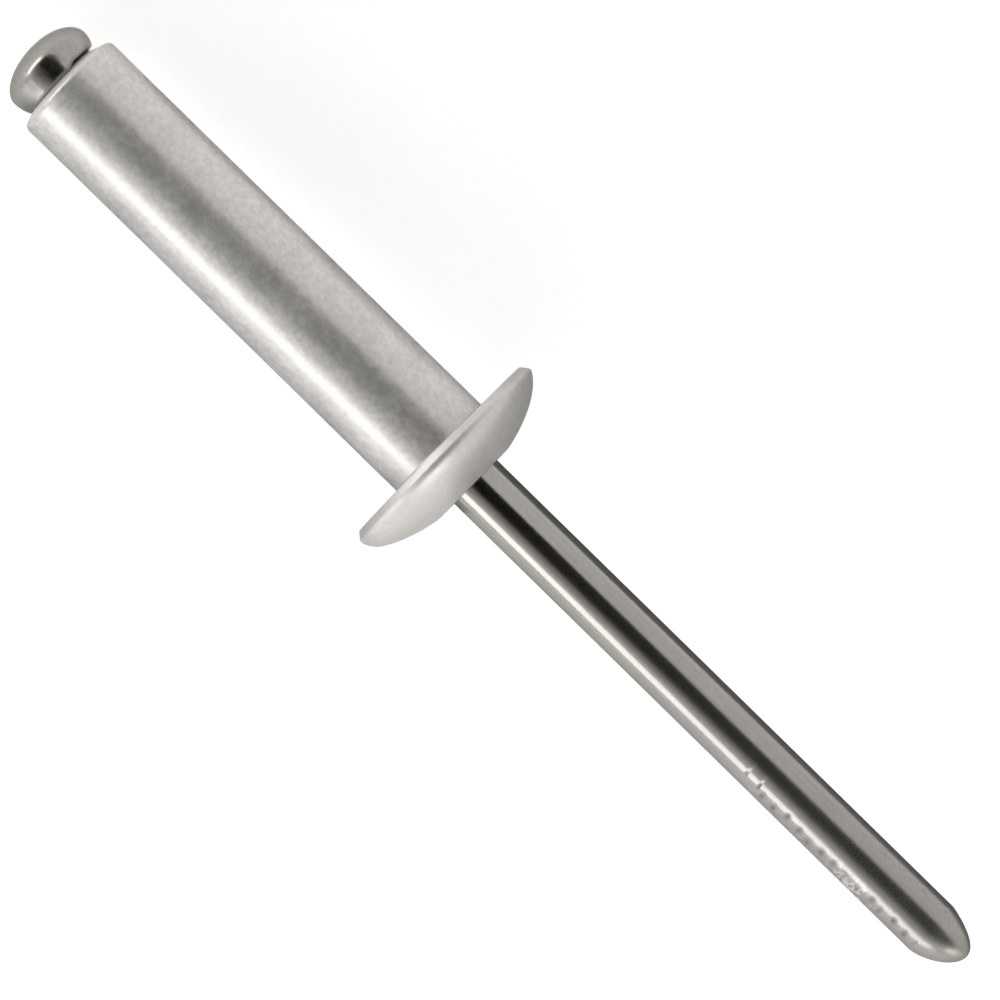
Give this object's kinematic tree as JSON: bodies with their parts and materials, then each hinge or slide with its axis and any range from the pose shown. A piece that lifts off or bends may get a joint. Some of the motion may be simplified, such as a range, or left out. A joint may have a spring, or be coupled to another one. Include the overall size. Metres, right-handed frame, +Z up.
{
  "type": "blind rivet",
  "caption": "Open-end blind rivet, unset: a plain tube under a domed flange, with a headed mandrel through it whose long pointed stem a riveting tool pulls.",
  "frame": {"origin": "centre of the flange's seat face, on the rivet's axis", "axes": "+Z up, with the rivet lying at rest on its flange rim and tail edge; the stem points along +X and rises 6.69 degrees, in the XZ plane"},
  "size_m": [0.0514, 0.0096, 0.0096],
  "materials": {
    "rivet_body": "satin",
    "mandrel": "drawn wire, semi-bright"
  },
  "bodies": {
    "root": {"rivet_body": "rivet_body", "mandrel": "mandrel"}
  },
  "joints": []
}
